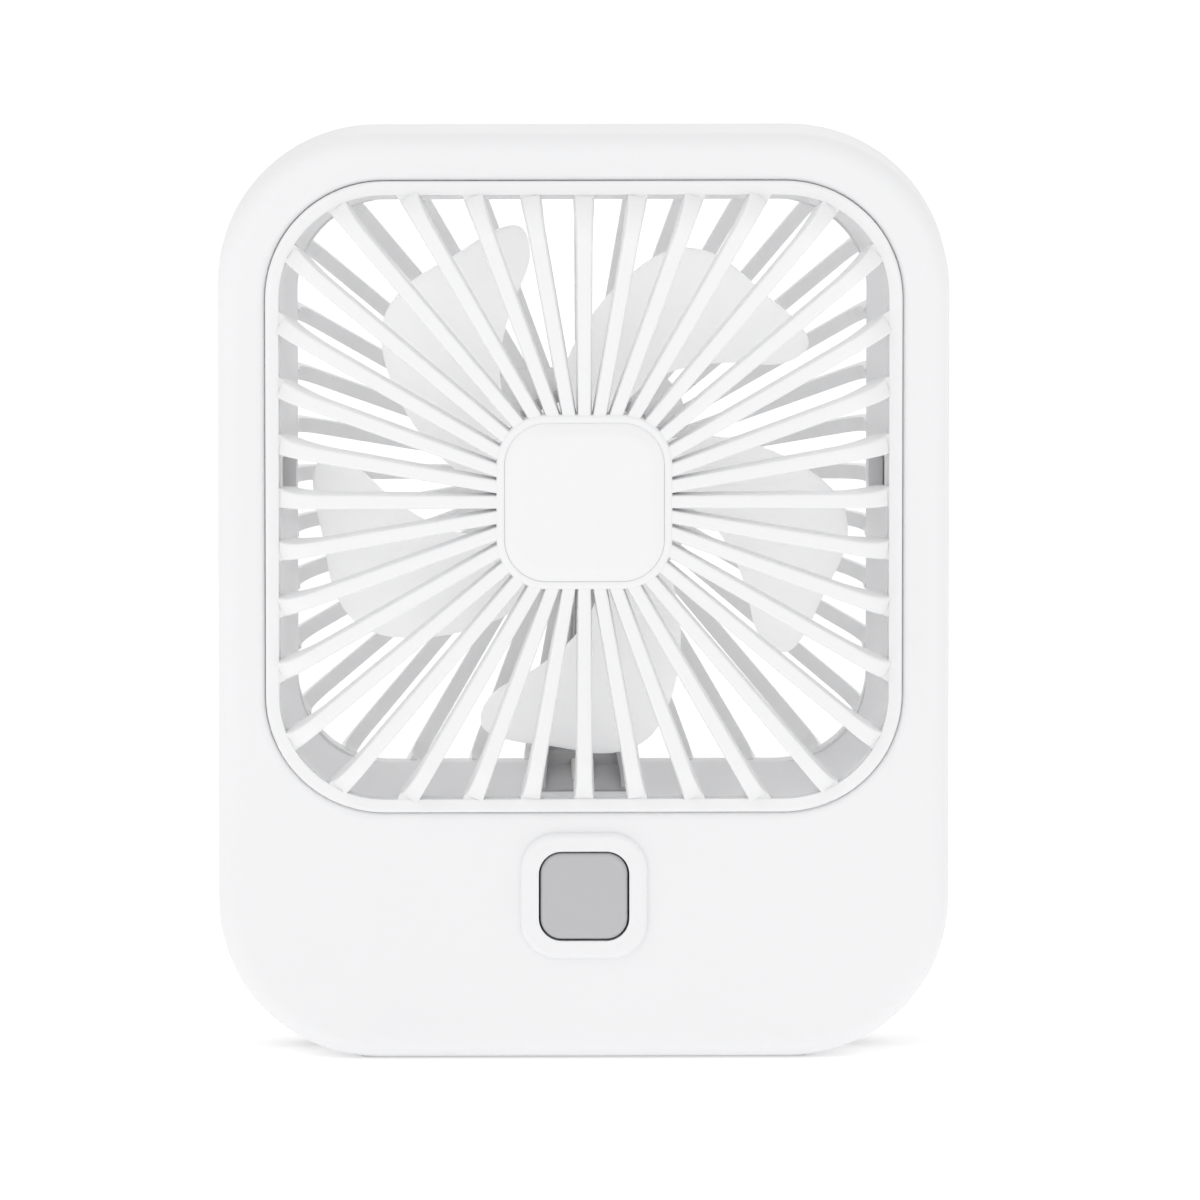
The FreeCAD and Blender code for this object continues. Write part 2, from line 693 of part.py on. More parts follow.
def make_motor():
    """The brushless motor: yoke, magnet and shaft turn; the rest stands on the bracket."""
    yoke = cut("rotor_yoke", rod("yoke_cup", "yoke_radius", "yoke_front", "yoke_back"),
               [rod("yoke_space", "yoke_radius - yoke_wall", "yoke_front + yoke_wall",
                    "yoke_back + 1"),
                rod("yoke_bore", "shaft_radius", "yoke_front - 1", "yoke_front + 2")])
    magnet = cut("rotor_magnet", rod("magnet_solid", "yoke_radius - yoke_wall", "magnet_front",
                                     "magnet_back"),
                 [rod("magnet_space", "magnet_inner", "magnet_front - 1", "magnet_back + 1")])
    shaft = cut("motor_shaft", rod("shaft_solid", "shaft_radius", "yoke_front", "shaft_back"),
                [ring_tool("shaft_groove", "shaft_radius - 0.25", "groove_place",
                           "groove_place + 0.5")])
    clip = worked_out("shaft_clip", clip_shape(), size("fan_height"))
    tube = cut("bearing_tube", rod("tube_solid", "tube_radius", "tube_front", "tube_back"),
               [rod("tube_space", "tube_bore", "tube_front - 1", "tube_back + 1")])
    bearings = worked_out("shaft_bearings", bearing_shapes(), size("fan_height"))
    stator = worked_out("stator_core", stator_shape(), size("fan_height"))
    coils = worked_out("stator_coils", coil_shapes(), size("fan_height"))
    board = cut("motor_board", rod("motor_board_disc", "motor_board_radius", "motor_board_front",
                                   "motor_board_back"),
                [rod("motor_board_bore", "tube_radius + 0.05", "motor_board_front - 1",
                     "motor_board_back + 1")])
    return [yoke, magnet, shaft, clip, tube, bearings, stator, coils, board]


def ring_tool(label, inner, y_from, y_to):
    """A ring that cuts a groove down to the inner radius."""
    return cut(label, rod(label + "_outer", "shaft_radius + 1", y_from, y_to),
               [rod(label + "_inner", inner, f"({y_from}) - 1", f"({y_to}) + 1")])


def tube_shape(outer, inner, y_from, y_to):
    """A plain tube about the fan axis."""
    axis = Vector(0, 1, 0)
    solid = Part.makeCylinder(outer, y_to - y_from, Vector(0, y_from, 0), axis)
    bore = Part.makeCylinder(inner, y_to - y_from + 2, Vector(0, y_from - 1, 0), axis)
    return solid.cut(bore)


def clip_shape():
    """The C-shaped clip that snaps into the shaft's groove."""
    place = size("groove_place") + 0.05
    ring = tube_shape(2.4, size("shaft_radius") - 0.22, place, place + 0.4)
    mouth = Part.makeBox(1.6, 2, 4, Vector(-0.8, place - 1, 0))
    return ring.cut(mouth)


def bearing_shapes():
    """Two small bearings, one in each end of the bearing tube."""
    long = size("bearing_long")
    starts = (size("tube_front") + 0.3, size("tube_back") - 5 - long)
    return Part.makeCompound([tube_shape(size("tube_bore"), size("bearing_bore"), start, start + long)
                              for start in starts])


def stator_shape():
    """Six poles on a hub, each with a wide tip that faces the magnet."""
    front, back = size("stator_front"), size("stator_back")
    core = tube_shape(5.2, size("tube_radius"), front, back)
    arms = [Part.makeBox(size("stator_radius") - 4.6, back - front, 1.6,
                         Vector(4.6, front, -0.8))]
    tip = tube_shape(size("stator_radius"), size("stator_radius") - 0.9, front, back)
    wedge_reach = 12.0
    half_width = wedge_reach * math.tan(math.radians(22))
    wedge = polygon_face([(0, front - 1, 0), (wedge_reach, front - 1, -half_width),
                          (wedge_reach, front - 1, half_width)]).extrude(Vector(0, back - front + 2, 0))
    arms.append(tip.common(wedge))
    number = int(size("stator_pole_number"))
    poles = [about_fan_axis(arm, index * 360 / number) for index in range(number) for arm in arms]
    return core.multiFuse(poles).removeSplitter()


def coil_shapes():
    """One winding round each pole, between the hub and the pole's tip."""
    front, back = size("stator_front"), size("stator_back")
    coil = Part.makeBox(1.6, back - front + 2.4, 2.9, Vector(5.4, front - 1.2, -1.45))
    coil = coil.makeFillet(0.5, [edge for edge in coil.Edges if edge.BoundBox.XLength > 1.5])
    pole = Part.makeBox(3, back - front, 1.6, Vector(4.6, front, -0.8))
    coil = coil.cut(pole)
    number = int(size("stator_pole_number"))
    return Part.makeCompound([about_fan_axis(coil, index * 360 / number) for index in range(number)])


# ---------------------------------------------------------------- bracket
def arm_plan(narrow, top, low):
    """The arm seen from the front, made narrower on each side, as a deep prism."""
    top_half, low_half = size("arm_top_half") - narrow, size("arm_low_half") - narrow
    neck, shoulder = -25, -(size("rear_size") / 2 + 0.8)
    half = [(top_half - 0.6, top), (top_half, neck), (low_half, shoulder), (low_half, low)]
    points = [(-across, -20, up) for across, up in half]
    points += [(across, -20, up) for across, up in reversed(half)]
    return polygon_face(points).extrude(Vector(0, 60, 0))


def arm_side():
    """The arm seen from the side, as a slab: down behind the rotor and forward along
    the duct's floor, where its foot lies in the duct's notch."""
    front, back = size("bracket_front"), size("bracket_back") - 0.4
    toe, heel = size("notch_front") + 0.3, size("duct_back") - 0.1
    floor = -(size("rear_size") / 2 - 0.2)
    edges = [line((back, -8), (back, floor + 6)),
             arc((back, floor + 6), (back - 1.5, floor + 2.1), (back - 5.6, floor + 0.5)),
             line((back - 5.6, floor + 0.5), (heel, floor + 0.4)),
             line((heel, floor + 0.4), (heel, floor - 1.5)),
             line((heel, floor - 1.5), (toe, floor - 3.9)),
             line((toe, floor - 3.9), (toe, floor - 1.8)),
             line((toe, floor - 1.8), (front - 6, floor + 2.8)),
             arc((front - 6, floor + 2.8), (front - 3.9, floor + 3.7), (front - 3, floor + 5.6)),
             line((front - 3, floor + 5.6), (front, -14)),
             line((front, -14), (front, -8)),
             line((front, -8), (back, -8))]
    half = size("arm_low_half") + 1
    web = Part.Face(Part.Wire(edges))
    web.translate(Vector(0, 0, -half))
    web = web.extrude(Vector(0, 0, 2 * half))
    web.transformShape(FreeCAD.Matrix(0, 0, 1, 0, 1, 0, 0, 0, 0, 1, 0, 0, 0, 0, 0, 1))
    return web


def make_bracket():
    """The motor's seat, and an arm that widens down to a foot in the duct's floor."""
    front, back = size("bracket_front"), size("bracket_back")
    axis = Vector(0, 1, 0)
    seat = Part.makeCylinder(size("bracket_radius"), back - front, Vector(0, front, 0), axis)
    web = arm_side()
    bracket = seat.fuse(web.common(arm_plan(0, -8, -60)))
    shifted = web.copy()
    shifted.translate(Vector(0, -1.4, 1.2))
    bracket = bracket.cut(shifted.common(arm_plan(0.9, -14, -45)))
    bores = [Part.makeCylinder(size("tube_radius"), 20, Vector(0, front - 1, 0), axis)]
    for side in (1, -1):
        place = Vector(side * size("bracket_screw_reach"), front - 1, 0)
        bores.append(Part.makeCylinder(size("screw_radius") - 0.15, 20, place, axis))
    bores += [lead_route(index, 0.5) for index in range(3)]
    return worked_out("motor_bracket", bracket.cut(bores).removeSplitter(), size("fan_height"))


# ---------------------------------------------------------------- button and electronics
def make_button():
    """The cap with its flange and stem, and the switch's plunger behind it."""
    square = ("button_size", "button_size", "button_corner")
    cap = new_body("button_cap", "button_height")
    sweep_back(cap, "face", square, "button_front", "guide_back + 0.05")
    round_edges(cap, "face_round", "0.7", edge_at_depth(size("button_front"), 3, 10))
    sweep_back(cap, "flange", inset(square, "(button_size - button_flange) / 2"),
               "guide_back + 0.05", "guide_back + 1.25")
    sweep_back(cap, "hollow", inset(square, "1.2"), "button_front + 1.6", "guide_back + 2", cut=True)
    sweep_back(cap, "stem", "plunger_radius", "button_front + 1", "plunger_front")
    plunger = rod("switch_plunger", "plunger_radius", "plunger_front", "switch_front + 0.8",
                  up="button_height")
    half = "switch_size / 2"
    case = bore_box("switch_case", (f"-{half}", "switch_front", f"button_height - {half}"),
                    (half, "board_front", f"button_height + {half}"))
    well = rod("switch_well", "plunger_radius + 0.15", "switch_front - 1", "board_front - 0.3",
               up="button_height")
    return [cap, plunger, cut("tact_switch", case, [well])]


def board_hole(index, side):
    """The hole in the control board for one of its two screws."""
    across = f"board_across + {side} * board_screw_across"
    return rod(f"board_hole_{index}", "screw_radius + 0.1", "board_front - 1", "board_back + 1",
               across, "button_height + 2")


def make_control_board():
    """The control board, its soldered parts, and the charging socket."""
    blank = bore_box("board_blank", ("board_across - board_width / 2", "board_front",
                     "button_height - board_height / 2 + 1"),
                     ("board_across + board_width / 2", "board_back",
                      "button_height + board_height / 2 + 1"))
    board = cut("control_board", blank, [board_hole(index, side) for index, side in
                                         enumerate((1, -1))])
    parts = []
    chips = [(-6.5, 31.4, 4.9, 3.9), (0, 31.5, 3, 3), (6, 31, 4, 4), (-11, 21, 2, 1.2),
             (-7, 21, 2, 1.2), (0, 20, 3, 3), (6, 20, 1.6, 0.8), (10, 21, 1.6, 0.8)]
    for across, up, wide, tall in chips:
        parts.append(Part.makeBox(wide, 1.1, tall, Vector(across - wide / 2, size("board_back"),
                                                          up - tall / 2)))
    components = worked_out("board_components", Part.makeCompound(parts))
    shell = new_body("port_shell_body", "port_height")
    outline = ("port_width", "port_tall", "port_tall / 2 - 0.05")
    sweep_back(shell, "shell", outline, "board_back", "port_back", across="port_across")
    sweep_back(shell, "socket", inset(outline, "0.3"), "port_back - 6.2", "port_back + 1",
               across="port_across", cut=True)
    shell.Label = "usb_port_shell"
    tongue = bore_box("usb_port_tongue", ("port_across - 3.3", "port_back - 6.2",
                      "port_height - 0.35"),
                      ("port_across + 3.3", "port_back - 1", "port_height + 0.35"))
    return [board, components, shell, tongue]


def make_battery():
    """A flat pouch cell with its folded tab end, and the foam tape that holds it."""
    cell_body = new_body("battery_cell", "cell_mid")
    sweep_back(cell_body, "pouch", ("cell_width", "cell_height", "2"), "cell_front", "cell_back",
               across="cell_across")
    round_edges(cell_body, "pouch_round", "1", lambda edge: edge.BoundBox.YLength < 1e-4)
    foam = bore_box("battery_foam", ("cell_across - 20", "cell_back", "cell_mid - 10"),
                    ("cell_across + 20", "case_back - case_wall + 0.2", "cell_mid + 10"))
    return [cell_body, foam]


def wire_tube(points, radius, bend):
    """A wire along straight runs joined by tangent arcs."""
    points = [Vector(*point) for point in points]
    edges, start = [], points[0]
    for before, corner, after in zip(points, points[1:], points[2:]):
        towards, away = (before - corner).normalize(), (after - corner).normalize()
        half_turn = (math.pi - towards.getAngle(away)) / 2
        setback = bend * math.tan(half_turn)
        arc_start, arc_end = corner + towards * setback, corner + away * setback
        middle_way = (towards + away).normalize()
        top = corner + middle_way * (bend / math.cos(half_turn) - bend)
        edges.append(Part.LineSegment(start, arc_start).toShape())
        edges.append(Part.Arc(arc_start, top, arc_end).toShape())
        start = arc_end
    edges.append(Part.LineSegment(start, points[-1]).toShape())
    path = Part.Wire(edges)
    section = Part.Wire(Part.makeCircle(radius, points[0], points[1] - points[0]))
    return path.makePipeShell([section], True, False)


def lead_route(index, radius):
    """One of three motor leads, moulded into the bracket, about the fan axis."""
    across = (index - 1) * 1.3
    board_top = size("button_height") + size("board_height") / 2 - size("fan_height")
    return wire_tube([(across, size("motor_board_back"), -6.6), (across, 13.7, -6.6),
                      (across, 13.7, -33), (across, 11.4, -40), (across, 5, -42.2),
                      (across, -2.6, -44.3), (across, -2.6, board_top),
                      (across, size("board_front"), board_top)], radius, 0.6)


def make_leads():
    """The leads from the motor board down the bracket to the control board, and the
    cell's two leads."""
    motor, battery = [lead_route(index, 0.45) for index in range(3)], []
    for index in range(2):
        across = size("cell_across") + size("cell_width") / 2
        up = size("cell_mid") + 4 + 3 * index
        battery.append(wire_tube([(across, 4, up), (across + 4, 4, up),
                                  (across + 4, size("board_back"), up)], 0.5, 1.2))
    return [worked_out("motor_leads", Part.makeCompound(motor), size("fan_height")),
            worked_out("battery_leads", Part.makeCompound(battery))]


# ---------------------------------------------------------------- fasteners
def screw_shape(head_radius, head_depth, radius, length):
    """A pan-head screw along Y: its head's face at 0, its tip at head_depth + length
    towards the front, with a cross recess."""
    axis = Vector(0, -1, 0)
    head = Part.makeCylinder(head_radius, head_depth, Vector(), axis)
    head = head.makeFillet(0.35, [edge for edge in head.Edges if abs(edge.BoundBox.YMin) < 1e-4
                                  and abs(edge.BoundBox.YMax) < 1e-4])
    screw = head.fuse(Part.makeCylinder(radius, head_depth + length, Vector(), axis))
    for turn in (0, 90):
        slot = Part.makeBox(0.5, 0.7, 2.2, Vector(-0.25, -0.7, -1.1))
        slot.rotate(Vector(), Vector(0, 1, 0), turn)
        screw = screw.cut(slot)
    return screw.removeSplitter()


def screws_at(label, places, head_radius, head_depth, radius, length):
    """A group of identical screws, each with its head's face at its place."""
    screws = []
    for place in places:
        screw = screw_shape(head_radius, head_depth, radius, length)
        screw.translate(Vector(*place))
        screws.append(screw)
    return worked_out(label, Part.makeCompound(screws))


def make_screws():
    radius, head = size("screw_radius"), size("screw_head_radius")
    seat, depth = size("screw_seat"), size("screw_head_depth")
    case_places = [(side * size("boss_across" if row == "top" else "boss_low_across"),
                    seat + depth, size("boss_top" if row == "top" else "boss_low"))
                   for side, row in CORNERS]
    hub_back, plate = size("rear_hub_back"), 1.6
    hub_places = [(side * size("bracket_screw_reach"), hub_back - plate + 1.2, size("fan_height"))
                  for side in (1, -1)]
    board_places = [(size("board_across") + side * size("board_screw_across"),
                     size("board_back") + 1, size("button_height") + 2) for side in (1, -1)]
    thread = radius - 0.15
    return [screws_at("case_screws", case_places, head, depth, thread, seat - size("screw_tip")),
            screws_at("bracket_screws", hub_places, head, 1.2, thread,
                      hub_back - plate - size("bracket_front") - 0.4),
            screws_at("board_screws", board_places, 1.6, 1, radius - 0.25, 4.5)]


# ---------------------------------------------------------------- stand and pads
def make_stand():
    """The U-shaped stand that wraps the rear half of the case, with its pivots."""
    fan = f"fan_height - ({CASE_MID})"
    band = new_body("stand_band", CASE_MID)
    sweep_back(band, "outer", CASE_OUTLINE, "stand_front", "stand_back")
    round_edges(band, "back_round", "0.9", edge_at_depth(size("stand_back"), 10, 80))
    sweep_back(band, "inner", inset(CASE_OUTLINE, "stand_thick"), "stand_front - 1",
               "stand_back + 1", cut=True)
    sweep_back(band, "open_top", ("case_width + 20", "case_height", "1"), "stand_front - 1",
               "stand_back + 1", up=f"{fan} + case_height / 2", cut=True)
    ends = []
    for side in (1, -1):
        inner, outer = "case_width / 2 - stand_thick", "case_width / 2"
        low, high = (inner, outer) if side > 0 else (f"-{outer}", f"stand_thick - {outer}")
        ends.append(cross_rod(f"stand_end_{side + 1}", "(stand_back - stand_front) / 2", low, high,
                              "pivot_face", "fan_height"))
    bore = cross_rod("stand_bore", "pin_radius", "-pin_outer", "pin_outer", "pivot_face",
                     "fan_height")
    stand = cut("stand", fuse("stand_blank", [band] + ends),
                [bore, pad_block("stand_pad_seat", "stand_pad")])
    pins, washers = [], []
    for side in (1, -1):
        inner, outer = f"{side} * pin_inner", f"{side} * pin_outer"
        low, high = (inner, outer) if side > 0 else (outer, inner)
        pins.append(cross_rod(f"pin_{side + 1}", "pin_radius", low, high, "pivot_face", "fan_height"))
        head_from = "pin_inner - 1.2" if side > 0 else "-pin_inner"
        head_to = "pin_inner" if side > 0 else "1.2 - pin_inner"
        pins.append(cross_rod(f"pin_head_{side + 1}", "washer_radius - 0.4", head_from, head_to,
                              "pivot_face", "fan_height"))
        low = "pin_inner" if side > 0 else "-pin_inner - washer_thick"
        high = "pin_inner + washer_thick" if side > 0 else "-pin_inner"
        washers.append(cut(f"washer_{side + 1}",
                           cross_rod(f"washer_disc_{side + 1}", "washer_radius", low, high,
                                     "pivot_face", "fan_height"),
                           [cross_rod(f"washer_bore_{side + 1}", "pin_radius + 0.03",
                                      low + " - 1", high + " + 1", "pivot_face", "fan_height")]))
    return [stand, fuse("stand_pins", pins), fuse("stand_washers", washers)]


def make_pads():
    """A soft strip under the case and another under the stand."""
    return [pad_block(pad, pad) for pad in PADS]


def collect(made):
    """Name each piece in the list of nodes by its label."""
    for piece in made if isinstance(made, list) else [made]:
        nodes[piece.Label] = piece


for maker in (make_front_shell, make_rear_shell, make_front_grille, make_hub_cap, make_rear_grille,
              make_rotor, make_bracket, make_motor, make_button, make_control_board, make_battery,
              make_leads, make_screws, make_stand, make_pads):
    collect(maker())

doc.recompute()
for item in doc.Objects:
    if "Invalid" in item.State or "Error" in item.State:
        raise RuntimeError(f"{item.Label} did not compute: {item.State}")
os.makedirs("parts", exist_ok=True)
for name, item in nodes.items():
    shape = item.Shape
    if shape.isNull() or not shape.isValid():
        raise RuntimeError(f"{name} has no valid shape")
    shape.exportStep(f"parts/{name}.step")
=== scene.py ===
import math

import bmesh
import bpy
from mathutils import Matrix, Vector


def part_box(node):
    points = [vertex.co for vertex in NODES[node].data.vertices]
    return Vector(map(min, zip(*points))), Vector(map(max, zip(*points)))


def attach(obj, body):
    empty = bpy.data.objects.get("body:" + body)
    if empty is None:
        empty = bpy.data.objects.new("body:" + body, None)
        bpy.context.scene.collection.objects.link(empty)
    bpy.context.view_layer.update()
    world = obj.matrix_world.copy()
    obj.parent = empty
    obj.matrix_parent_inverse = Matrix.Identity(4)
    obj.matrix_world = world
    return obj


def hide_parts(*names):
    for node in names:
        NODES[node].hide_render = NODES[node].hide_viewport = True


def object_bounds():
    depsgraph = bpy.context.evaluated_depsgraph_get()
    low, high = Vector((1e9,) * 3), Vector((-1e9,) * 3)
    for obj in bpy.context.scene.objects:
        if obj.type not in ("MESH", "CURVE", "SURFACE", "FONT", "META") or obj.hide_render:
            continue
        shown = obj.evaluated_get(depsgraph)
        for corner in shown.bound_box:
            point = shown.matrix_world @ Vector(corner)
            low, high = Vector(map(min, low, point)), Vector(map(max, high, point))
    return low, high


# The looks of a small rechargeable desk fan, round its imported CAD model: materials for
# every node, shaped pieces in place of the plain pads, cell and foam, and the studio.
# Metres. The front faces -Y, +Z is up and the origin is the middle of the footprint.

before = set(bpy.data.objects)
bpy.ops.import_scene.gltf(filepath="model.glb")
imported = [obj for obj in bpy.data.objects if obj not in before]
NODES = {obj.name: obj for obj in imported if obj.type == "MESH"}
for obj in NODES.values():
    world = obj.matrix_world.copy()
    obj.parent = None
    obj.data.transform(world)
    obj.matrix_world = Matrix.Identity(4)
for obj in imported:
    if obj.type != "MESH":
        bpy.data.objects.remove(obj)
MM = 0.001
cad_low, cad_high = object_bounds()


# ------------------------------------------------------------------ the camera and studio
# Distances in metres and angles in degrees. VIEW_WIDTH is what the frame spans at the aim,
# and the aim's height is a share of the fan's.
VIEW_DISTANCE = 3.0
VIEW_ELEVATION = 8.2
VIEW_AZIMUTH = -0.85
VIEW_WIDTH = 0.1812
SENSOR_WIDTH = 36.0
CLIP_RANGE = (0.01, 20)
AIM_HEIGHT_SHARE = 0.486
AIM_SIDE = 2.6 * MM

# Each lamp: its offset from the fan's middle, its size and its watts.
LAMPS = {
    "key": ((-0.6, -0.8, 0.8), 0.6, 1.2),
    "fill": ((0.6, -0.9, 0.1), 0.8, 0.2),
    "back": ((0.25, 1.0, 0.6), 0.8, 0.8),
}
SKY_STRENGTH = 0.86
FLOOR_REACH = 6.0
FLOOR_TONE = 0.93
FLOOR_ROUGHNESS = 0.9
FLOOR_GLOW = 0.25


def make_camera():
    """A long lens a little above the fan, all but square to its front."""
    elevation = math.radians(VIEW_ELEVATION)
    azimuth = math.radians(VIEW_AZIMUTH)
    target = Vector((AIM_SIDE, 0, cad_high.z * AIM_HEIGHT_SHARE))
    level = math.cos(elevation)
    back = Vector((math.sin(azimuth) * level, -math.cos(azimuth) * level, math.sin(elevation)))
    data = bpy.data.cameras.new("camera")
    data.sensor_width = SENSOR_WIDTH
    data.lens = SENSOR_WIDTH * VIEW_DISTANCE / VIEW_WIDTH
    data.clip_start, data.clip_end = CLIP_RANGE
    camera = bpy.data.objects.new("camera", data)
    camera.location = target + back * VIEW_DISTANCE
    camera.rotation_mode = "QUATERNION"
    camera.rotation_quaternion = (-back).to_track_quat("-Z", "Y")
    bpy.context.scene.collection.objects.link(camera)
    bpy.context.scene.camera = camera


def area_light(name, place, aim, size, watts):
    """A square soft light at place, turned to face aim."""
    data = bpy.data.lights.new(name, "AREA")
    data.size = size
    data.energy = watts
    light = bpy.data.objects.new(name, data)
    light.visible_camera = False
    light.location = place
    light.rotation_mode = "QUATERNION"
    light.rotation_quaternion = (aim - place).to_track_quat("-Z", "Y")
    bpy.context.scene.collection.objects.link(light)


def make_studio():
    """A white room of light, a soft key from the upper left, a weak fill and a back light."""
    world = bpy.data.worlds.new("studio")
    bpy.context.scene.world = world
    world.use_nodes = True
    sky = world.node_tree.nodes["Background"]
    sky.inputs["Color"].default_value = (1, 1, 1, 1)
    sky.inputs["Strength"].default_value = SKY_STRENGTH
    middle = (cad_low + cad_high) / 2
    for name, (offset, size, watts) in LAMPS.items():
        area_light(name, middle + Vector(offset), middle, size, watts)
    bpy.context.scene.view_settings.view_transform = "Standard"


def make_floor():
    """A wide pale floor under the fan, with a little emission that keeps it white."""
    mesh = bpy.data.meshes.new("floor")
    reach = FLOOR_REACH
    corners = [(-reach, -reach, 0), (reach, -reach, 0), (reach, reach, 0), (-reach, reach, 0)]
    mesh.from_pydata(corners, [], [(0, 1, 2, 3)])
    floor = bpy.data.objects.new("floor", mesh)
    bpy.context.scene.collection.objects.link(floor)
    paint, shader, _ = new_material("floor_paint")
    shader.inputs["Base Color"].default_value = (FLOOR_TONE, FLOOR_TONE, FLOOR_TONE, 1)
    shader.inputs["Roughness"].default_value = FLOOR_ROUGHNESS
    shader.inputs["Emission Color"].default_value = (1, 1, 1, 1)
    shader.inputs["Emission Strength"].default_value = FLOOR_GLOW
    mesh.materials.append(paint)


# ------------------------------------------------------------------------- the materials
# Noise texture scales are in cycles per metre. A noise's middle range is what gets used.
NOISE_LOW, NOISE_HIGH = 0.3, 0.7
DRIFT_SCALE = 22.0
WEAR_SCALE = 60.0
STEEL_BAND_SCALE = 160.0
COPPER_BAND_SCALE = 3200 / 12
TRACK_SCALE = 420.0
CREASE_SCALE = 190.0


def new_material(name):
    """A material, its Principled shader and the tool that adds nodes to it."""
    paint = bpy.data.materials.new(name)
    paint.use_nodes = True
    tree = paint.node_tree
    shader = tree.nodes["Principled BSDF"]

    def add(kind, **values):
        node = tree.nodes.new("ShaderNode" + kind)
        for key, value in values.items():
            if key in node.inputs:
                node.inputs[key].default_value = value
            else:
                setattr(node, key, value)
        return node

    add.link = tree.links.new
    return paint, shader, add


def place_noise(add, scale, detail=2.0, rough=0.5):
    """Noise laid out in the object's own metres."""
    where = add("TexCoord")
    noise = add("TexNoise", Scale=scale, Detail=detail, Roughness=rough)
    add.link(where.outputs["Object"], noise.inputs["Vector"])
    return noise.outputs["Fac"]


def spread(add, value, low, high):
    """The value, stretched from its usual range to low..high."""
    node = add("MapRange")
    node.inputs["From Min"].default_value = NOISE_LOW
    node.inputs["From Max"].default_value = NOISE_HIGH
    node.inputs["To Min"].default_value = low
    node.inputs["To Max"].default_value = high
    add.link(value, node.inputs["Value"])
    return node.outputs["Result"]


def two_tones(add, value, dark, light, low=NOISE_LOW, high=NOISE_HIGH):
    """A colour between two tones as the value goes from low to high."""
    ramp = add("ValToRGB")
    ends = ramp.color_ramp.elements
    ends[0].position, ends[1].position = low, high
    ends[0].color, ends[1].color = (*dark, 1), (*light, 1)
    add.link(value, ramp.inputs["Fac"])
    return ramp.outputs["Color"]


def bumps(add, shader, value, depth, strength=1.0):
    """Small relief, depth metres high."""
    bump = add("Bump", Strength=strength, Distance=depth)
    add.link(value, bump.inputs["Height"])
    add.link(bump.outputs["Normal"], shader.inputs["Normal"])


def moulded_plastic(name, tone, shade, rough, grain=2600.0, grain_depth=0.012 * MM, glow=0.0,
                    depth=0.8 * MM, inner=0.0):
    """Injection-moulded plastic: a fine spark-eroded grain, a faint drift of tone where the
    melt cooled, and patches that handling has polished a little. Glow is the weight of its
    subsurface scattering and depth is its reach. Inner is an emission that stands for light
    coming through a thin milky wall."""
    paint, shader, add = new_material(name)
    drift = place_noise(add, DRIFT_SCALE, detail=3.0)
    dark = [channel * shade for channel in tone]
    melt = two_tones(add, drift, dark, tone)
    add.link(melt, shader.inputs["Base Color"])
    add.link(melt, shader.inputs["Emission Color"])
    shader.inputs["Emission Strength"].default_value = inner
    wear = place_noise(add, WEAR_SCALE, detail=5.0, rough=0.62)
    add.link(spread(add, wear, rough - 0.05, rough + 0.06), shader.inputs["Roughness"])
    bumps(add, shader, place_noise(add, grain, detail=1.5), grain_depth, 0.55)
    shader.inputs["IOR"].default_value = 1.5
    if glow:
        shader.inputs["Subsurface Weight"].default_value = glow
        shader.inputs["Subsurface Radius"].default_value = (1.0, 0.95, 0.9)
        shader.inputs["Subsurface Scale"].default_value = depth
    return paint


def metal(name, tone, rough, scale=900.0):
    """Bare metal with fine tool marks."""
    paint, shader, add = new_material(name)
    marks = place_noise(add, scale, detail=4.0)
    dark = [channel * 0.86 for channel in tone]
    add.link(two_tones(add, marks, dark, tone), shader.inputs["Base Color"])
    add.link(spread(add, marks, rough - 0.07, rough + 0.08), shader.inputs["Roughness"])
    bumps(add, shader, marks, 0.006 * MM, 0.5)
    shader.inputs["Metallic"].default_value = 1.0
    return paint


def matt(name, tone, rough, grain, depth, shade=0.82):
    """A dull material with a visible grain: foam, rubber, ferrite."""
    paint, shader, add = new_material(name)
    cells = place_noise(add, grain, detail=3.0, rough=0.6)
    dark = [channel * shade for channel in tone]
    add.link(two_tones(add, cells, dark, tone), shader.inputs["Base Color"])
    add.link(spread(add, cells, rough - 0.06, rough + 0.06), shader.inputs["Roughness"])
    bumps(add, shader, cells, depth, 0.8)
    return paint


def layered_steel():
    """A stack of thin stampings: a line at every sheet along the axle."""
    paint, shader, add = new_material("layered_steel")
    where = add("TexCoord")
    bands = add("TexWave", wave_type="BANDS", bands_direction="Y", Scale=STEEL_BAND_SCALE)
    bands.inputs["Distortion"].default_value = 0.4
    add.link(where.outputs["Object"], bands.inputs["Vector"])
    add.link(two_tones(add, bands.outputs["Fac"], (0.2, 0.2, 0.21), (0.5, 0.5, 0.52), 0.1, 0.6),
             shader.inputs["Base Color"])
    bumps(add, shader, bands.outputs["Fac"], 0.02 * MM, 0.7)
    shader.inputs["Metallic"].default_value = 1.0
    shader.inputs["Roughness"].default_value = 0.42
    return paint


def wound_copper():
    """Enamelled wire, laid turn on turn."""
    paint, shader, add = new_material("wound_copper")
    where = add("TexCoord")
    turns = add("TexWave", wave_type="BANDS", bands_direction="Y", Scale=COPPER_BAND_SCALE)
    turns.inputs["Distortion"].default_value = 0.8
    turns.inputs["Detail"].default_value = 1.0
    add.link(where.outputs["Object"], turns.inputs["Vector"])
    add.link(two_tones(add, turns.outputs["Fac"], (0.25, 0.07, 0.02), (0.85, 0.36, 0.14), 0.05, 0.6),
             shader.inputs["Base Color"])
    bumps(add, shader, turns.outputs["Fac"], 0.06 * MM, 0.9)
    shader.inputs["Metallic"].default_value = 0.9
    shader.inputs["Roughness"].default_value = 0.28
    shader.inputs["Coat Weight"].default_value = 0.5
    return paint


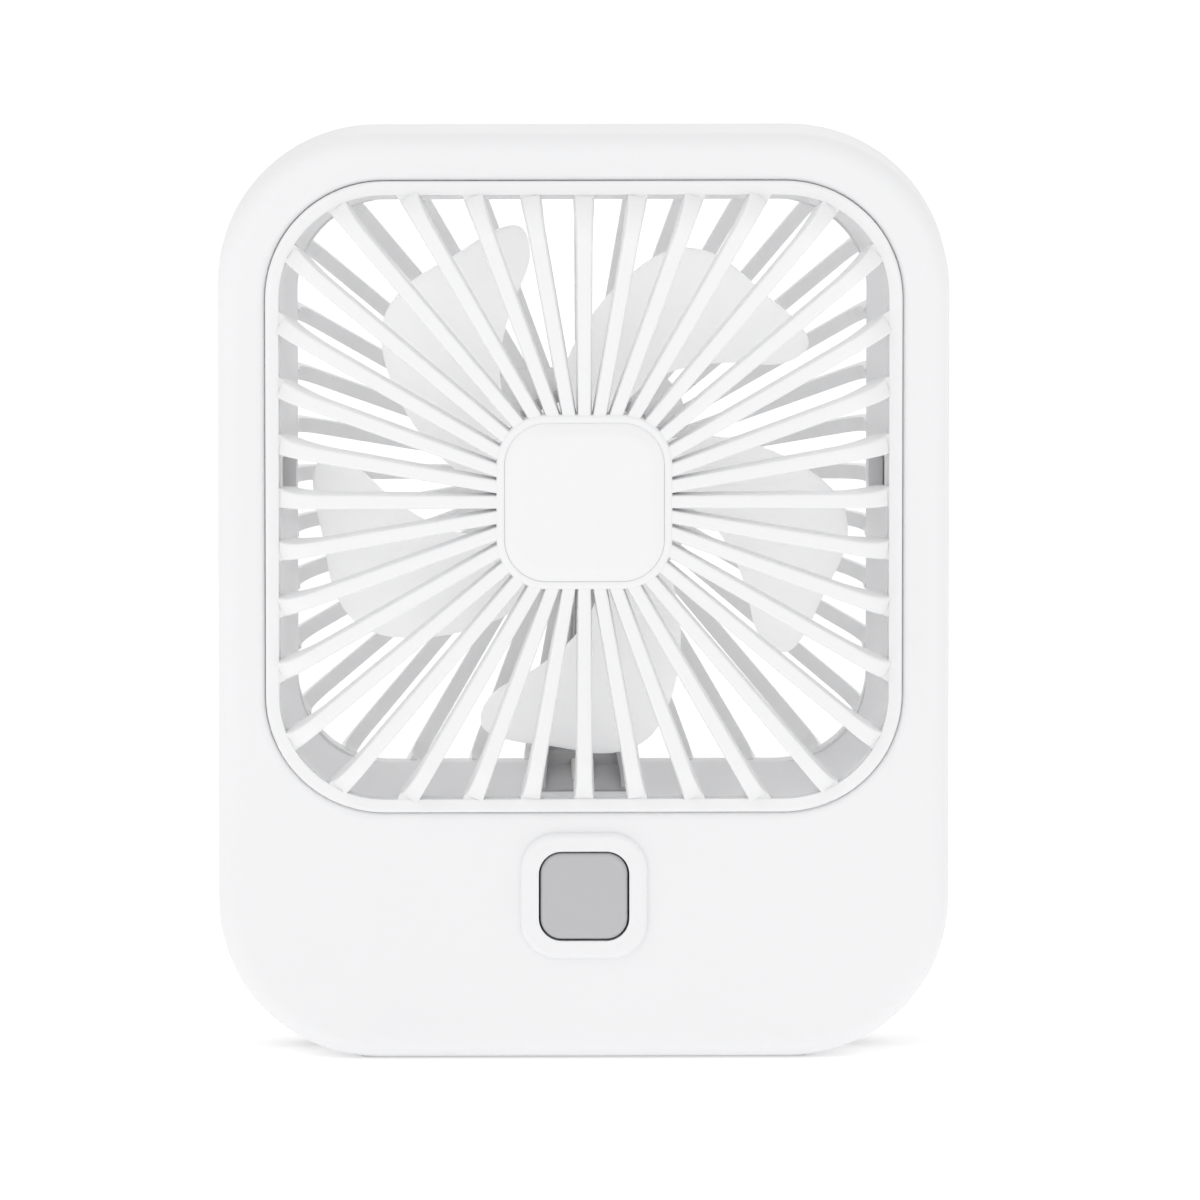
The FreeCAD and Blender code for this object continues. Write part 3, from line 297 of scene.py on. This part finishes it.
def printed_board():
    """Green solder mask over copper tracks."""
    paint, shader, add = new_material("printed_board")
    where = add("TexCoord")
    tracks = add("TexVoronoi", feature="DISTANCE_TO_EDGE", distance="CHEBYCHEV",
                 Scale=TRACK_SCALE)
    add.link(where.outputs["Object"], tracks.inputs["Vector"])
    tone = two_tones(add, tracks.outputs["Distance"], (0.05, 0.24, 0.09), (0.012, 0.1, 0.035),
                     0.02, 0.09)
    add.link(tone, shader.inputs["Base Color"])
    bumps(add, shader, tracks.outputs["Distance"], 0.03 * MM, 0.4)
    wear = place_noise(add, 300.0)
    add.link(spread(add, wear, 0.24, 0.4), shader.inputs["Roughness"])
    shader.inputs["Coat Weight"].default_value = 0.3
    return paint


def crinkled_foil():
    """The aluminium laminate of a pouch cell, with shallow creases."""
    paint, shader, add = new_material("crinkled_foil")
    creases = place_noise(add, CREASE_SCALE, detail=5.0, rough=0.6)
    add.link(two_tones(add, creases, (0.55, 0.56, 0.58), (0.78, 0.79, 0.8)),
             shader.inputs["Base Color"])
    add.link(spread(add, creases, 0.24, 0.42), shader.inputs["Roughness"])
    bumps(add, shader, creases, 0.12 * MM, 0.6)
    shader.inputs["Metallic"].default_value = 0.9
    return paint


# Base colours, linear.
WHITE = (0.885, 0.885, 0.895)
# The grille is the same white plastic as the case, made a touch lighter: that lift is painted light.
BRIGHT_WHITE = (0.895, 0.895, 0.9)
MILKY_WHITE = (0.93, 0.93, 0.93)
PALE_GRAY = (0.49, 0.49, 0.5)
# The button is the same gray plastic as the stand, made a little lighter: that lift is painted light
# on the button.
BUTTON_GRAY = (0.515, 0.515, 0.525)


def make_materials():
    """One material for each kind of piece, by name."""
    return {
        "case_white": moulded_plastic("case_white", WHITE, 0.985, 0.46, glow=0.12),
        "grille_white": moulded_plastic("grille_white", BRIGHT_WHITE, 0.985, 0.4, glow=0.12),
        "blade_white": moulded_plastic("blade_white", MILKY_WHITE, 0.985, 0.5, glow=0.8,
                                       depth=2.5 * MM, inner=0.18),
        "stand_gray": moulded_plastic("stand_gray", PALE_GRAY, 0.97, 0.5),
        "button_gray": moulded_plastic("button_gray", BUTTON_GRAY, 0.985, 0.42, grain=4200.0,
                                       grain_depth=0.006 * MM),
        "black_plastic": moulded_plastic("black_plastic", (0.02, 0.02, 0.021), 0.8, 0.42),
        "bright_steel": metal("bright_steel", (0.62, 0.62, 0.63), 0.28),
        "bronze": metal("bronze", (0.55, 0.36, 0.17), 0.4, scale=2200.0),
        "layered_steel": layered_steel(),
        "wound_copper": wound_copper(),
        "printed_board": printed_board(),
        "crinkled_foil": crinkled_foil(),
        "ferrite": matt("ferrite", (0.045, 0.045, 0.05), 0.62, 2600.0, 0.03 * MM, 0.6),
        "foam": matt("foam", (0.05, 0.05, 0.055), 0.92, 2200.0, 0.12 * MM, 0.45),
        "soft_gray": matt("soft_gray", (0.62, 0.62, 0.63), 0.78, 3000.0, 0.02 * MM, 0.9),
        "amber_tape": moulded_plastic("amber_tape", (0.5, 0.24, 0.04), 0.9, 0.25),
        "red_silicone": moulded_plastic("red_silicone", (0.6, 0.02, 0.015), 0.9, 0.45),
        "white_silicone": moulded_plastic("white_silicone", (0.78, 0.78, 0.76), 0.95, 0.48),
    }


NODE_MATERIALS = {
    "case_white": ["front_shell", "rear_shell"],
    "grille_white": ["front_grille", "rear_grille", "grille_hub_cap"],
    "blade_white": ["rotor"],
    "stand_gray": ["stand", "motor_bracket"],
    "button_gray": ["button_cap"],
    "black_plastic": ["switch_plunger", "tact_switch", "board_components", "usb_port_tongue"],
    "bright_steel": ["rotor_yoke", "motor_shaft", "shaft_clip", "usb_port_shell", "case_screws",
                     "bracket_screws", "board_screws", "stand_pins", "stand_washers"],
    "bronze": ["bearing_tube", "shaft_bearings"],
    "layered_steel": ["stator_core"],
    "wound_copper": ["stator_coils"],
    "printed_board": ["motor_board", "control_board"],
    "ferrite": ["rotor_magnet"],
    "red_silicone": ["battery_leads"],
    "white_silicone": ["motor_leads"],
}


def finish_nodes(paints):
    """Every CAD node that shows gets its own material."""
    for paint_name, names in NODE_MATERIALS.items():
        for name in names:
            slots = NODES[name].data.materials
            slots.clear()
            slots.append(paints[paint_name])


# ------------------------------------------------------- the soft pieces and the pouch cell
SHARP_DEGREES = 50
CORNER_STEPS = 5
CROWN_LAYERS = 14
CROWN_POWER = 0.7
# How far in from each end of a pad, in mm, and how far its underside lifts there.
PAD_ENDS = ((0, 0.28), (0.12, 0.12), (0.35, 0.03), (0.7, 0))
RIB_DEPTH = 0.16 * MM
RIB_POINTS = 10
RIB_POWER = 0.6
# The cell's folded top edge, and the tape over it.
SEAM_HEIGHT = 2.6 * MM
SEAM_LAP = 2 * MM
SEAM_INSET = 1.5 * MM
SEAM_HALF_THICKNESS = 0.5 * MM


def loft(name, rings, paint, body, slot, *nodes):
    """A closed piece through rings of points. It rides on a body and stands for the nodes."""
    shape = bmesh.new()
    loops = [[shape.verts.new(point) for point in ring] for ring in rings]
    for first, second in zip(loops, loops[1:]):
        for index, corner in enumerate(first):
            after = (index + 1) % len(first)
            shape.faces.new((corner, first[after], second[after], second[index]))
    shape.faces.new(loops[0][::-1])
    shape.faces.new(loops[-1])
    bmesh.ops.recalc_face_normals(shape, faces=shape.faces)
    mesh = bpy.data.meshes.new(name)
    shape.to_mesh(mesh)
    shape.free()
    mesh.shade_smooth()
    mesh.set_sharp_from_angle(angle=math.radians(SHARP_DEGREES))
    mesh.materials.append(paint)
    piece = bpy.data.objects.new(name, mesh)
    bpy.context.scene.collection.objects.link(piece)
    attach(piece, body)
    if nodes:
        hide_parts(*nodes)
    return piece


def rounded_ring(low, high, y, corner, shrink):
    """A rounded rectangle facing along Y, drawn in from the box by shrink."""
    points = []
    turns = ((high.x, high.z, 0), (low.x, high.z, 90), (low.x, low.z, 180), (high.x, low.z, 270))
    middle = (low + high) / 2
    inset = corner + shrink
    for x, z, start in turns:
        centre_x = x + math.copysign(inset, middle.x - x)
        centre_z = z + math.copysign(inset, middle.z - z)
        for step in range(CORNER_STEPS + 1):
            angle = math.radians(start + 90 * step / CORNER_STEPS)
            points.append((centre_x + corner * math.cos(angle), y,
                           centre_z + corner * math.sin(angle)))
    return points


def crowned_block(name, low, high, corner, softness, paint, body, slot, *nodes):
    """A flat block whose edges round over by softness, like a filled pouch or cut foam."""
    rings = []
    for layer in range(CROWN_LAYERS + 1):
        turn = math.pi * layer / CROWN_LAYERS
        y = (low.y + high.y) / 2 - math.cos(turn) * (high.y - low.y) / 2
        shrink = softness * (1 - math.sin(turn) ** CROWN_POWER)
        rings.append(rounded_ring(low, high, y, corner, shrink))
    return loft(name, rings, paint, body, slot, *nodes)


def ribbed_pad(node, ribs, paint, body):
    """A soft foot strip with rounded ends and ribs along it that rest on the table."""
    low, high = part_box(node)
    places = [(low.x + reach * MM, lift * MM) for reach, lift in PAD_ENDS]
    places += [(high.x - reach * MM, lift * MM) for reach, lift in reversed(PAD_ENDS)]
    count = ribs * RIB_POINTS
    rings = []
    for x, lift in places:
        ring = []
        for step in range(count + 1):
            share = step / count
            valley = 1 - abs(math.sin(math.pi * ribs * share)) ** RIB_POWER
            ring.append((x, low.y + (high.y - low.y) * share, low.z + lift + RIB_DEPTH * valley))
        ring += [(x, high.y, high.z), (x, low.y, high.z)]
        rings.append(ring)
    return loft(node + "_ribbed", rings, paint, body, "soft_pad", node)


def make_cell(paints):
    """The pouch cell: a crowned foil body, its folded top seam and a turn of amber tape."""
    low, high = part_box("battery_cell")
    body_high = high - Vector((0, 0, SEAM_HEIGHT))
    crowned_block("pouch_cell", low, body_high, 2 * MM, 1.1 * MM, paints["crinkled_foil"], "case",
                  "pouch_foil", "battery_cell")
    middle = (low.y + high.y) / 2
    seam_low = Vector((low.x + SEAM_INSET, middle - SEAM_HALF_THICKNESS,
                       high.z - SEAM_HEIGHT - SEAM_LAP))
    seam_high = Vector((high.x - SEAM_INSET, middle + SEAM_HALF_THICKNESS, high.z))
    crowned_block("cell_seam", seam_low, seam_high, 0.6 * MM, 0.3 * MM, paints["amber_tape"],
                  "case", "pouch_foil")


def make_soft_pieces(paints):
    """The two foot strips, the cell, and the foam tape that holds it."""
    ribbed_pad("base_pad", 5, paints["soft_gray"], "case")
    ribbed_pad("stand_pad", 3, paints["soft_gray"], "stand")
    make_cell(paints)
    low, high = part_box("battery_foam")
    foam = crowned_block("cell_foam", low, high, 1.2 * MM, 0.25 * MM, paints["foam"], "case",
                         "foam_tape", "battery_foam")


make_camera()
make_studio()
make_floor()
paints = make_materials()
finish_nodes(paints)
make_soft_pieces(paints)
